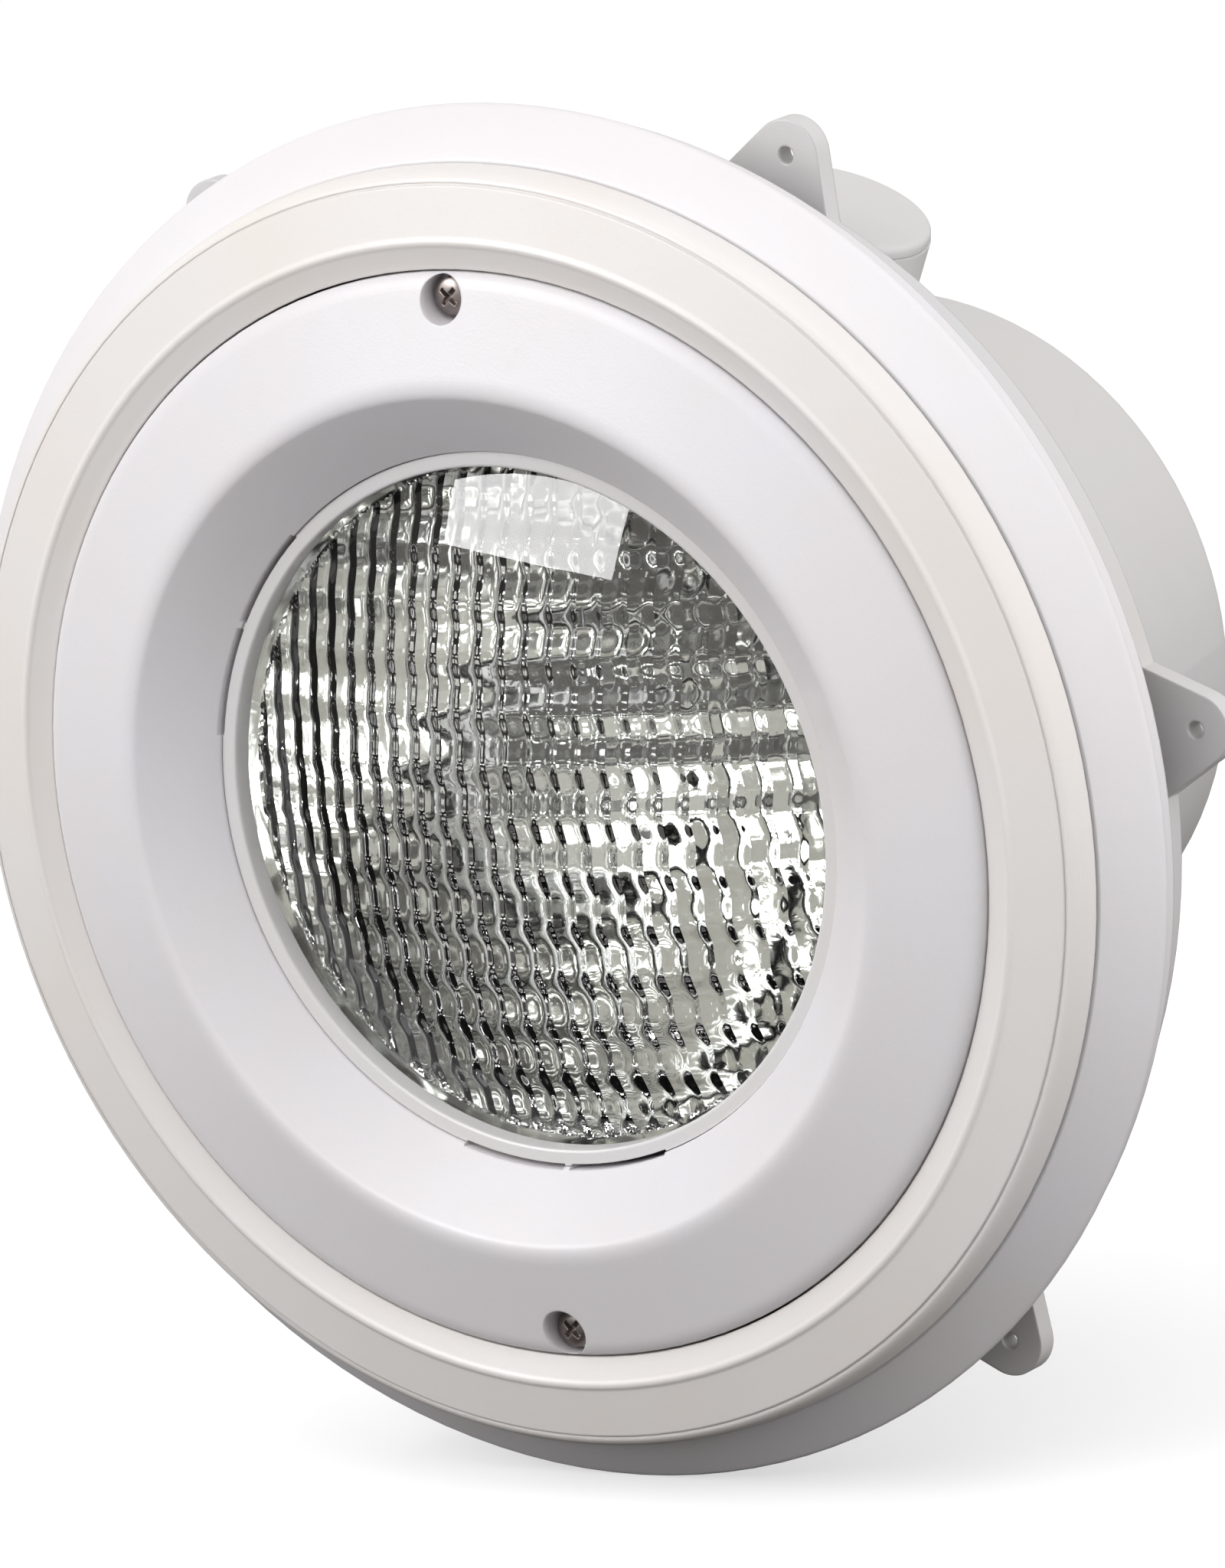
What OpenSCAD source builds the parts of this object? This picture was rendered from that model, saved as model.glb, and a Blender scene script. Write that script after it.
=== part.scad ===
// Underwater pool light in its wall niche. Radii are measured from the light's axis, the Y axis.
// Depths are measured along +Y from the front face of the mounting ears, so the front is negative.
// Angles run from +X towards +Z.

/* [Mounting ears] */
// Radius of the circle of mounting holes
ear_circle_r = 162.5; // [162:0.5:163.5]
// Diameter of a mounting hole
ear_hole_d = 4.2; // [3.6:0.1:5]
// Radius of an ear's round tip
ear_tip_r = 8.5; // [8:0.5:9.5]
// Half the angle between an ear's sides
ear_half_angle = 27.5; // [24:0.5:30]
// Angle of the first ear and of the conduit hub
ear_angle = 65; // [61:1:69]

/* [Niche] */
// Thickness of the flange plate and the ears
plate_t = 5.5; // [5:0.5:6]
// Outer radius of the flange plate and its rim wall
rim_r = 152; // [151:0.5:153]
// Height of the rim wall in front of the plate
rim_h = 13; // [12.5:0.5:13]
// Inner radius of the niche's mouth
mouth_r = 113; // [112.5:0.5:113.5]
// Outer radius of the bucket at the rear
bucket_rear_r = 84; // [82:0.5:88]
// Depth of the bucket's rear face
bucket_rear_y = 143.7; // [140:0.1:150]
// Wall thickness of the bucket
bucket_wall = 4; // [3:0.5:4.5]
// Outer diameter of the conduit hub
hub_d = 44; // [42:0.5:46]
// Depth of the conduit hub's axis
hub_y = 34.5; // [33:0.5:38]
// Radius at which the conduit plug ends
hub_end_r = 141.5; // [138:0.5:145]

/* [Collar and face ring] */
// Widest radius of the flared collar
flare_r = 164.3; // [163.5:0.1:164.7]
// Depth of the flared collar's widest edge
flare_y = -22; // [-23:0.5:-21.5]
// Radius of the band behind the flare
band_r = 161.5; // [160.5:0.1:161.8]
// Radius of the ridge of the face ring
ridge_r = 135.8; // [135:0.1:136.5]
// Radius of the groove in the face ring
groove_r = 149; // [148:0.1:149.2]
// Radius of the shoulder where face ring and collar meet
shoulder_r = 152.5; // [152.2:0.1:153]

/* [Bezel] */
// Outer radius of the bezel
bezel_r = 129; // [128.5:0.1:129.4]
// Depth of the bezel's outer edge
bezel_edge_y = -43; // [-43.5:0.5:-42.5]
// How far the bezel's face stands in front of its edge
bezel_crown = 7.4; // [6:0.1:8]
// Outer radius of the bezel's inner cone
cone_outer_r = 100.4; // [100:0.1:101]
// Depth of the inner cone from its outer to its inner edge
cone_depth = 12.8; // [12:0.1:13.2]
// Thickness of the bezel's walls
bezel_wall = 3.2; // [2.8:0.1:3.4]

/* [Bezel screws] */
// Radius at which the two bezel screws sit
screw_circle_r = 123; // [122.5:0.1:123]
// Thread diameter of a bezel screw
screw_d = 5; // [4.5:0.1:5]
// Head diameter of a bezel screw
screw_head_d = 9; // [8:0.1:9.5]
// Diameter of the recess that the head sits in
recess_d = 11.4; // [11:0.1:11.6]

/* [Lamp] */
// Radius of the lamp's glass rim
lamp_r = 89; // [88.5:0.1:89]
// Inner radius of the retaining ring, the glass that shows
glass_r = 81.5; // [80.5:0.1:82]
// Height of the domed lens
dome_h = 17.2; // [14:0.2:18]
// Focal length of the reflector
focal = 23.3; // [23:0.1:24]

/* [Lamp housing] */
// Outer radius of the lamp housing's flange
housing_flange_r = 110; // [109:0.5:110.5]
// Inner radius of the lamp housing's rear chamber
chamber_r = 40; // [36:0.5:44]
// Depth of the lamp housing's rear face
housing_rear_y = 88; // [86:0.5:92]
// Thickness of the lamp housing's walls
housing_wall = 3; // [2.5:0.1:3.5]

/* [Cable gland] */
// Thread diameter of the gland
gland_d = 20; // [18:0.5:20]
// Width across the corners of the gland's hexagons
gland_hex_d = 27.7; // [26:0.1:28]
// Diameter of the seal's cable hole
cable_d = 9; // [7:0.5:10]

/* [Hidden] */
$fn = 96;

// Clearances
gap = 0.1;
eps = 1;

// Width of each slot in a screw's cross drive
drive_w = 1.1;

// Places on the light
ear_count = 6;
ear_angles = [for (i = [0:ear_count - 1]) ear_angle + i * 360 / ear_count];
notch_half_w = 18;
upper = 90;
lower = -90;

// Niche: the parts that stand in front of the plate all end at rim_front
rim_front = -rim_h;
rim_wall_t = 4.5;
neck_wall = 4;
bucket_front_r = mouth_r + neck_wall;
bucket_fillet = 6;
gasket_t = 1;
hub_wall = 5.2;
hub_collar_r = hub_end_r - 23;
hub_collar_d = hub_d + 4;
plug_head_t = 3;
plug_reach = 16;
plug_gap = 0.3;
plug_d = hub_d - 0.8;

// Collar: a web that lies on the niche's rim, with the flared wall round it
web_t = 3.5;
web_rear = rim_front - gasket_t;
web_front = web_rear - web_t;
collar_top = -32.2;
collar_wall = 3.2;
seal_t = 0.8;

// Face ring
face_wall = 3;
face_inner_r = bezel_r + 0.5;
face_inner_y = bezel_edge_y + 1;
ridge_step = 0.6;
ridge_y = bezel_edge_y - 1.3;
groove_y = bezel_edge_y + 1.65;
groove_w = 0.6;
groove_d = 0.45;
shoulder_y = collar_top - seal_t;
foot_t = 2.5;
foot_front = web_front - foot_t;
ring_screw_r = 119.5;
ring_screw_angles = [for (i = [0:7]) 22.5 + i * 45];
ring_screw_d = 3.9;
ring_screw_hole_d = 4.4;
ring_screw_head_h = 2.6;
ring_screw_tip = -1;
ring_tower_d = 9;

// Bezel
cone_outer_y = bezel_edge_y - 6.1;
cone_inner_y = cone_outer_y + cone_depth;
cone_inner_r = 85.4;
ledge_y = cone_inner_y + 4;
pocket_r = 92.6;
pocket_wall = 4;
pocket_rear = -21.5;
bezel_rear = foot_front - 0.5;
crown_y = bezel_edge_y - bezel_crown;
slot_angles = [150, 270];
slot_span = 18.5;
slot_bridge = 1.2;
slot_w = 0.6;

// Bezel screws
recess_floor = -37;
sleeve_rear = -29;
sleeve_d = 15;
shank_hole_d = screw_d + 0.8;
washer_t = 1.1;
washer_front = recess_floor - 0.2 - washer_t;
head_rear = washer_front - gap;
head_h = 3.9;
screw_tip = -4;
insert_d = 8;
insert_l = 10;
insert_boss_d = 13;
web_screw_hole_d = 9;
retainer_y = -19.8;
retainer_t = 1.2;
retainer_d = 8.4;
retainer_relief_d = retainer_d + 1;

// Lamp
lens_ring_front = cone_inner_y + 0.7;
lens_ring_flange_t = 2;
lens_ring_rear = ledge_y + lens_ring_flange_t;
lens_gasket_t = 2;
lens_front = lens_ring_rear + lens_gasket_t;
lens_t = 4;
lens_rear = lens_front + lens_t;
dome_r = lamp_r - 5;
reflector_r = lamp_r - 3;
reflector_wall = 4;
reflector_rim_t = 4.8;
reflector_rim_rear = lens_rear + reflector_rim_t;
apex_y = lens_rear + pow(reflector_r, 2) / (4 * focal);
focus_y = apex_y - focal;
post_x = 14;
ferrule_r = 6;
ferrule_front = apex_y - 5;
ferrule_rear = apex_y + 7;
terminal_rear = ferrule_rear + 5;
lug_t = 1;
lug_rear = terminal_rear + lug_t;
wire_d = 2.8;
cushion_t = 1.5;

// Lamp housing
housing_front = -20;
housing_flange_t = 3.5;
housing_ledge_y = reflector_rim_rear + cushion_t;
housing_neck_r = lamp_r - 1.8;
housing_screw_r = 104.5;
housing_screw_angles = [for (i = [0:5]) 30 + i * 60];
housing_screw_d = 3.4;
housing_post_d = 8;
chamber_front = 60;
floor_t = 4;

// Cable gland
gland_bore_d = 13;
gland_hex_t = 6;
gland_rear = housing_rear_y + 20;
gland_front = housing_rear_y - 8.5;
nut_front = housing_rear_y + 9;
nut_roof = gland_rear + 1.8;
nut_rear = nut_roof + 3.5;
seal_front = housing_rear_y + 8;
potting_front = gland_front - 1.5;

// --- helpers -------------------------------------------------------------------------------

// Turns a profile of [radius, depth] points round the light's axis
module revolve(points) rotate([-90, 0, 0]) rotate_extrude() polygon(points);

// A ring between two radii and two depths
module band(r_in, r_out, y0, y1)
    revolve([[r_in, y0], [r_out, y0], [r_out, y1], [r_in, y1]]);

// A rod along the light's axis, at the place of its parent
module rod(y0, y1, d, sides = 64)
    translate([0, y0, 0]) rotate([-90, 0, 0]) cylinder(h = y1 - y0, d = d, $fn = sides);

// Moves children out to a radius at an angle
module at(angle, r) rotate([0, -angle, 0]) translate([r, 0, 0]) children();

// One child at each of the angles
module at_each(angles, r) for (a = angles) at(a, r) children();

// A rod along a radius, from one radius to another, round a given depth
module spoke(r0, r1, y, d) translate([r0, y, 0]) rotate([0, 90, 0]) cylinder(h = r1 - r0, d = d);

// A smooth bend from p0 to p2 that the corner p1 pulls
function bend(p0, p1, p2, n = 8) =
    [for (i = [0:n]) let (t = i / n) pow(1 - t, 2) * p0 + 2 * t * (1 - t) * p1 + pow(t, 2) * p2];

// The crossed slots of a screw's drive, at the place of their parent
module cross_slot(y0, depth, length)
    for (turn = [45, 135])
        rotate([0, turn, 0]) translate([-length / 2, y0, -drive_w / 2]) cube([length, depth, drive_w]);

// A straight round wire from point a to point b, with a slightly fuller round bend at b
module wire_run(a, b, d) {
    v = b - a;
    translate(a)
        rotate([0, acos(v[2] / norm(v)), atan2(v[1], v[0])]) cylinder(h = norm(v), d = d, $fn = 24);
    translate(b) sphere(d = d + 0.2, $fn = 24);
}

module wire_path(points, d) for (i = [1:len(points) - 1]) wire_run(points[i - 1], points[i], d);

// --- niche ---------------------------------------------------------------------------------

// Outline of the bucket, a given amount inside its outer surface
function bucket_side(inset) = [
    [bucket_front_r - inset, plate_t],
    each bend(
        [bucket_rear_r + 1.4 - inset, bucket_rear_y - bucket_fillet],
        [bucket_rear_r - inset, bucket_rear_y - inset],
        [bucket_rear_r - bucket_fillet - inset, bucket_rear_y - inset]
    )
];

module niche_outside()
    revolve([[0, rim_front], [bucket_front_r, rim_front], each bucket_side(0), [0, bucket_rear_y]]);

module niche_cavity()
    revolve([
        [0, rim_front - eps],
        [mouth_r, rim_front - eps],
        each bucket_side(bucket_wall),
        [0, bucket_rear_y - bucket_wall]
    ]);

// An ear's outline: a round tip and two straight sides that spread towards the plate
module ear_outline() {
    side_x = ear_circle_r + ear_tip_r * sin(ear_half_angle);
    side_y = ear_tip_r * cos(ear_half_angle);
    root_x = rim_r - 8;
    root_y = side_y + (side_x - root_x) * tan(ear_half_angle);
    translate([ear_circle_r, 0]) circle(ear_tip_r);
    polygon([[root_x, -root_y], [side_x, -side_y], [side_x, side_y], [root_x, root_y]]);
}

module plate()
    rotate([-90, 0, 0])
        linear_extrude(plate_t) {
            circle(rim_r);
            for (a = ear_angles) rotate(-a) ear_outline();
        }

module rim_wall()
    difference() {
        band(rim_r - rim_wall_t, rim_r, rim_front, plate_t / 2);
        at_each(ear_angles, rim_r)
            translate([-rim_wall_t - eps, rim_front - eps, -notch_half_w])
                cube([rim_wall_t + 2 * eps, rim_h + eps, 2 * notch_half_w]);
    }

module niche_shell()
    color("gainsboro")
        difference() {
            union() {
                niche_outside();
                plate();
                rim_wall();
                rotate([0, -ear_angle, 0]) {
                    spoke(mouth_r - 20, hub_end_r - plug_head_t, hub_y, hub_d);
                    spoke(mouth_r - 20, hub_collar_r, hub_y, hub_collar_d);
                }
                at_each(ring_screw_angles, ring_screw_r) rod(rim_front, plate_t, ring_tower_d);
                at_each([upper, lower], screw_circle_r) rod(rim_front, plate_t, insert_boss_d);
            }
            niche_cavity();
            at_each(ear_angles, ear_circle_r) rod(-eps, plate_t + eps, ear_hole_d);
            rotate([0, -ear_angle, 0])
                spoke(mouth_r - 25, hub_end_r + eps, hub_y, hub_d - 2 * hub_wall);
            at_each(ring_screw_angles, ring_screw_r)
                rod(rim_front - eps, ring_screw_tip + 1, ring_screw_d + gap);
            at_each([upper, lower], screw_circle_r) {
                rod(rim_front - eps, rim_front + insert_l, insert_d + gap);
                rod(rim_front - eps, rim_front + insert_l + 3, screw_d + 1);
            }
        }

module niche_gasket()
    color("dimgray")
        difference() {
            band(mouth_r + 0.5, rim_r - 0.5, web_rear, rim_front);
            at_each(ring_screw_angles, ring_screw_r) rod(web_rear - eps, rim_front + eps, ring_screw_hole_d);
            at_each([upper, lower], screw_circle_r) rod(web_rear - eps, rim_front + eps, web_screw_hole_d);
        }

module ring_screws()
    color("silver")
        at_each(ring_screw_angles, ring_screw_r)
            difference() {
                union() {
                    rod(foot_front - ring_screw_head_h, foot_front, 7.5);
                    rod(foot_front - eps, ring_screw_tip, ring_screw_d);
                }
                cross_slot(foot_front - ring_screw_head_h - eps, 1.4 + eps, 4);
            }

module screw_inserts()
    color("goldenrod")
        at_each([upper, lower], screw_circle_r)
            difference() {
                rod(rim_front, rim_front + insert_l, insert_d);
                rod(rim_front - eps, rim_front + insert_l + eps, screw_d + gap);
            }

module conduit_plug()
    color("gainsboro")
        rotate([0, -ear_angle, 0])
            translate([hub_end_r, hub_y, 0])
                rotate([0, -90, 0])
                    rotate_extrude()
                        polygon([
                            [0, 0],
                            each bend([plug_d / 2 - 2, 0], [plug_d / 2, 0], [plug_d / 2, 2]),
                            [plug_d / 2, plug_head_t - gap],
                            [hub_d / 2 - hub_wall - plug_gap, plug_head_t - gap],
                            [hub_d / 2 - hub_wall - plug_gap, 8.5],
                            [hub_d / 2 - hub_wall - 2, 8.5],
                            [hub_d / 2 - hub_wall - 2, 11],
                            [hub_d / 2 - hub_wall - plug_gap, 11],
                            [hub_d / 2 - hub_wall - plug_gap, plug_reach],
                            [hub_d / 2 - hub_wall - 3, plug_reach],
                            [hub_d / 2 - hub_wall - 3.5, plug_head_t],
                            [0, plug_head_t]
                        ]);

module plug_o_ring()
    color("black")
        rotate([0, -ear_angle, 0])
            translate([hub_end_r - 9.75, hub_y, 0])
                rotate([0, 90, 0])
                    rotate_extrude() translate([hub_d / 2 - hub_wall - 1.1, 0]) circle(d = 1.8, $fn = 24);

// --- collar and face ring ------------------------------------------------------------------

module collar_ring()
    color("lavender")
        difference() {
            revolve([
                [mouth_r, web_front],
                [band_r - collar_wall, web_front],
                [band_r - collar_wall, flare_y - 0.6],
                [shoulder_r - 1.6, collar_top + 2],
                [shoulder_r - 2.8, collar_top + 2],
                [shoulder_r - 2.8, collar_top],
                [shoulder_r + 0.5, collar_top],
                each bend(
                    [flare_r - 1, flare_y - 1],
                    [flare_r + 0.5, flare_y + 0.3],
                    [flare_r - 0.6, flare_y + 1.6]
                ),
                [band_r + 0.3, flare_y + 2.4],
                [band_r, web_rear],
                [mouth_r, web_rear]
            ]);
            at_each(ring_screw_angles, ring_screw_r) rod(web_front - eps, web_rear + eps, ring_screw_hole_d);
            at_each([upper, lower], screw_circle_r) rod(web_front - eps, web_rear + eps, web_screw_hole_d);
        }

module face_gasket() color("dimgray") band(shoulder_r - 2.8, shoulder_r - 0.4, shoulder_y, collar_top);

module face_ring()
    color("linen")
        difference() {
            revolve([
                [mouth_r + 2, web_front],
                [mouth_r + 2, foot_front],
                [face_inner_r, foot_front],
                [face_inner_r, face_inner_y],
                each bend(
                    [ridge_r - 0.9, ridge_y + 0.5],
                    [ridge_r, ridge_y - 0.2],
                    [ridge_r + 0.9, ridge_y + 0.2]
                ),
                [ridge_r + 1.5, ridge_y + ridge_step],
                [groove_r, groove_y],
                [groove_r, groove_y + groove_d],
                [groove_r + groove_w, groove_y + groove_d],
                each bend(
                    [groove_r + groove_w, groove_y + 0.3],
                    [shoulder_r + 0.1, groove_y + 1],
                    [shoulder_r, shoulder_y]
                ),
                [shoulder_r - face_wall, shoulder_y],
                [shoulder_r - face_wall - 0.4, groove_y + 1.3 + face_wall],
                [ridge_r + 1, ridge_y + 0.2 + face_wall],
                [face_inner_r + face_wall, ridge_y + 3 + face_wall],
                [face_inner_r + face_wall, web_front]
            ]);
            at_each(ring_screw_angles, ring_screw_r)
                rod(foot_front - eps, web_front + eps, ring_screw_hole_d);
            at_each([upper, lower], screw_circle_r) rod(foot_front - eps, web_front + eps, web_screw_hole_d);
        }

// --- bezel ---------------------------------------------------------------------------------

// The bezel's front from the foot of the cone to the outer edge
bezel_front = [
    [cone_inner_r, cone_inner_y],
    each bend(
        [cone_outer_r, cone_outer_y],
        [cone_outer_r + 1.5, crown_y],
        [cone_outer_r + 5.6, crown_y + 1]
    ),
    each bend(
        [bezel_r - 4.5, bezel_edge_y - 1.9],
        [bezel_r, bezel_edge_y - 0.9],
        [bezel_r, bezel_edge_y + 1.2]
    )
];

// One side of a pair of arc slots, from the pair's centre outwards
module arc_slot(side)
    rotate([0, side > 0 ? -slot_bridge / 2 - slot_span : slot_bridge / 2, 0])
        rotate([-90, 0, 0])
            rotate_extrude(angle = slot_span)
                polygon([
                    [cone_inner_r - slot_w, cone_inner_y - 3],
                    [cone_inner_r + slot_w, cone_inner_y - 3],
                    [cone_inner_r + slot_w, lens_ring_rear + eps],
                    [cone_inner_r - slot_w, lens_ring_rear + eps]
                ]);

module arc_slots() for (a = slot_angles, side = [-1, 1]) rotate([0, -a, 0]) arc_slot(side);

module bezel()
    color("ghostwhite")
        difference() {
            union() {
                revolve([
                    each bezel_front,
                    [bezel_r, bezel_rear],
                    [bezel_r - bezel_wall, bezel_rear],
                    [bezel_r - bezel_wall, bezel_edge_y - 1 + bezel_wall],
                    [cone_outer_r + 4, crown_y + 0.6 + bezel_wall],
                    [cone_outer_r + 1.2, crown_y + 1.6 + bezel_wall],
                    [pocket_r + pocket_wall, cone_outer_y + 4.2 + bezel_wall],
                    [pocket_r + pocket_wall, pocket_rear],
                    [pocket_r, pocket_rear],
                    [pocket_r, ledge_y],
                    [cone_inner_r, ledge_y]
                ]);
                intersection() {
                    revolve([[0, bezel_rear], [0, cone_inner_y], each bezel_front, [bezel_r, bezel_rear]]);
                    union() {
                        at_each([upper, lower], screw_circle_r) rod(crown_y, sleeve_rear, sleeve_d);
                        at_each(housing_screw_angles, housing_screw_r)
                            rod(crown_y + bezel_wall, housing_front, housing_post_d);
                    }
                }
            }
            at_each([upper, lower], screw_circle_r) {
                rod(crown_y - eps, recess_floor, recess_d);
                rod(recess_floor - eps, sleeve_rear + eps, shank_hole_d);
                rod(sleeve_rear, bezel_rear + eps, retainer_relief_d);
            }
            at_each(housing_screw_angles, housing_screw_r)
                rod(housing_front - 16, housing_front + eps, housing_screw_d + gap);
            arc_slots();
        }

module lens_ring()
    color("white")
        difference() {
            revolve([
                [glass_r, lens_ring_rear],
                [glass_r, lens_ring_front + 0.8],
                each bend(
                    [glass_r, lens_ring_front + 0.8],
                    [glass_r, lens_ring_front],
                    [glass_r + 0.8, lens_ring_front],
                    3
                ),
                [cone_inner_r - 0.2, lens_ring_front],
                [cone_inner_r - 0.2, ledge_y],
                [pocket_r - 1, ledge_y],
                [pocket_r - 1, lens_ring_rear]
            ]);
            arc_slots();
        }

// --- lamp ----------------------------------------------------------------------------------

// A shallow dome from the axis out to a radius
function dome(r, rim_y, h, n = 10) =
    let (ball_r = (r * r + h * h) / (2 * h))
    [for (i = [0:n]) let (x = r * i / n) [x, rim_y - h + ball_r - sqrt(ball_r * ball_r - x * x)]];

// The reflector's curve, a given amount outside its mirror face
function mirror_curve(r, out, n = 12) =
    [for (i = [0:n])
        let (x = r * (1 - i / n))
        [x + out * min(1, x / 20), apex_y - x * x / (4 * focal) + out * (1 - x / r)]];

function reversed(list) = [for (i = [len(list) - 1:-1:0]) list[i]];

module lens_gasket() color("black") band(dome_r + 0.3, pocket_r - 1, lens_ring_rear, lens_front);

module lamp_lens()
    color("lightcyan", 0.5)
        revolve([
            each dome(dome_r, lens_front, dome_h),
            [lamp_r, lens_front],
            [lamp_r, lens_rear],
            each reversed(dome(dome_r - lens_t, lens_rear, dome_h))
        ]);

module lamp_reflector()
    color("silver")
        difference() {
            revolve([
                [lamp_r, lens_rear],
                each mirror_curve(reflector_r, 0),
                each reversed(mirror_curve(reflector_r - 4, reflector_wall)),
                [reflector_r, reflector_rim_rear],
                [lamp_r, reflector_rim_rear]
            ]);
            for (x = [-post_x, post_x])
                translate([x, 0, 0]) rod(ferrule_front - eps, ferrule_rear + eps, 2 * ferrule_r + gap);
        }

module filament()
    color("orange")
        translate([-7.5, focus_y, 0]) rotate([0, 90, 0]) cylinder(h = 15, d = 2.4, $fn = 24);

module filament_posts()
    color("dimgray")
        for (side = [-1, 1]) {
            translate([side * post_x, 0, 0]) rod(focus_y + 6, ferrule_front, 2, 24);
            wire_path([[side * post_x, focus_y + 6, 0], [side * 8.6, focus_y, 0]], 2);
        }

module lamp_ferrules()
    color("silver")
        for (x = [-post_x, post_x]) translate([x, 0, 0]) rod(ferrule_front, ferrule_rear, 2 * ferrule_r);

module lamp_terminals()
    color("goldenrod")
        for (x = [-post_x, post_x])
            translate([x, 0, 0])
                difference() {
                    rod(ferrule_rear, terminal_rear, 9);
                    rod(ferrule_rear + 1, terminal_rear + eps, 3.1, 32);
                }

module ring_terminals()
    color("silver")
        for (x = [-post_x, post_x])
            translate([x, 0, 0]) {
                difference() {
                    rod(terminal_rear, lug_rear, 8, 48);
                    rod(terminal_rear - eps, lug_rear + eps, 3.2, 32);
                }
                translate([-1.5, terminal_rear, 3.2]) cube([3, lug_t, 4]);
                translate([0, terminal_rear + 2.2, 6.2]) cylinder(h = 5, d = 4.4, $fn = 32);
            }

module terminal_screws()
    color("silver")
        for (x = [-post_x, post_x])
            translate([x, 0, 0])
                difference() {
                    union() {
                        rod(lug_rear, lug_rear + 2.4, 6.5, 48);
                        rod(ferrule_rear + 1.5, lug_rear + eps, 3, 32);
                    }
                    translate([-4, lug_rear + 1.4, -0.5]) cube([8, 2, 1]);
                }

module lead_wires()
    color("darkred")
        for (side = [-1, 1])
            wire_path(
                [
                    [side * post_x, terminal_rear + 2.2, 11.2],
                    [side * post_x, terminal_rear + 2.2, 15],
                    [side * 10, terminal_rear + 6, 18],
                    [side * 4, potting_front - 6, 8],
                    [side * 3, potting_front, 0]
                ],
                wire_d
            );

// --- lamp housing --------------------------------------------------------------------------

// The housing's inner or outer outline, from the ledge behind the lamp's rim to the rear
function housing_side(out) = [
    [housing_neck_r + out, housing_ledge_y],
    [housing_neck_r + out, housing_ledge_y + 8],
    [housing_neck_r - 8 + out, housing_ledge_y + 22],
    each bend(
        [chamber_r + 15 + out, chamber_front - 18],
        [chamber_r + 1.5 + out, chamber_front - 3],
        [chamber_r + out, chamber_front + 12]
    )
];

module rim_cushion() color("black") band(housing_neck_r, lamp_r + 1, reflector_rim_rear, housing_ledge_y);

module lamp_housing()
    color("gainsboro")
        difference() {
            revolve([
                [pocket_r, housing_front],
                [housing_flange_r, housing_front],
                [housing_flange_r, housing_front + housing_flange_t],
                [housing_neck_r + 2 * housing_wall, housing_front + housing_flange_t],
                each housing_side(housing_wall),
                each bend(
                    [chamber_r + housing_wall, housing_rear_y - 3],
                    [chamber_r + housing_wall, housing_rear_y],
                    [chamber_r + housing_wall - 3, housing_rear_y]
                ),
                [0, housing_rear_y],
                [0, housing_rear_y - floor_t],
                [chamber_r, housing_rear_y - floor_t],
                each reversed(housing_side(0)),
                [pocket_r, housing_ledge_y]
            ]);
            rod(housing_rear_y - 2 * floor_t, housing_rear_y + eps, gland_d + gap);
            at_each(housing_screw_angles, housing_screw_r)
                rod(housing_front - eps, housing_front + housing_flange_t + eps, housing_screw_d + 0.6);
        }

module housing_gasket()
    color("black") band(pocket_r, pocket_r + pocket_wall, pocket_rear, housing_front);

module housing_screws()
    color("silver")
        at_each(housing_screw_angles, housing_screw_r)
            difference() {
                union() {
                    rod(housing_front + housing_flange_t, housing_front + housing_flange_t + 2.6, 7);
                    rod(housing_front - 14, housing_front + housing_flange_t + eps, housing_screw_d);
                }
                cross_slot(housing_front + housing_flange_t + 1.4, 2, 4);
            }

// --- cable gland ---------------------------------------------------------------------------

module gland_body()
    color("dimgray")
        difference() {
            union() {
                rod(housing_rear_y, housing_rear_y + gland_hex_t, gland_hex_d, 6);
                rod(gland_front, gland_rear, gland_d);
            }
            rod(gland_front - eps, gland_rear + eps, gland_bore_d);
        }

module gland_locknut()
    color("dimgray")
        difference() {
            rod(housing_rear_y - floor_t - 4, housing_rear_y - floor_t, gland_hex_d, 6);
            rod(housing_rear_y - floor_t - 4 - eps, housing_rear_y - floor_t + eps, gland_d + gap);
        }

module gland_seal()
    color("black")
        difference() {
            rod(seal_front, gland_rear, gland_bore_d - gap);
            rod(seal_front - eps, gland_rear + eps, cable_d);
        }

module gland_potting()
    color("dimgray")
        difference() {
            rod(potting_front, seal_front, gland_bore_d - gap);
            lead_wires();
        }

module gland_washer()
    color("white")
        difference() {
            rod(gland_rear + 0.3, nut_roof - 0.3, gland_d - 0.6);
            rod(gland_rear, nut_roof, cable_d + 1);
        }

module gland_nut()
    color("dimgray")
        difference() {
            rod(nut_front, nut_rear, gland_hex_d, 6);
            rod(nut_front - eps, nut_roof, gland_d + 0.6);
            rod(nut_front, nut_rear + eps, cable_d + 2);
        }

// --- bezel screws --------------------------------------------------------------------------

module captive_screw(angle)
    color("slategray")
        at(angle, screw_circle_r)
            difference() {
                union() {
                    rod(head_rear - head_h, head_rear, screw_head_d);
                    rod(head_rear - eps, screw_tip, screw_d);
                }
                cross_slot(head_rear - head_h - eps, 2.4 + eps, 5.2);
            }

module captive_washer(angle)
    color("silver")
        at(angle, screw_circle_r)
            difference() {
                rod(washer_front, washer_front + washer_t, screw_head_d + 1.4);
                rod(washer_front - eps, washer_front + washer_t + eps, screw_d + gap);
            }

module captive_retainer(angle)
    color("black")
        at(angle, screw_circle_r)
            difference() {
                rod(retainer_y, retainer_y + retainer_t, retainer_d);
                rod(retainer_y - eps, retainer_y + retainer_t + eps, screw_d + gap);
            }

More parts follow.
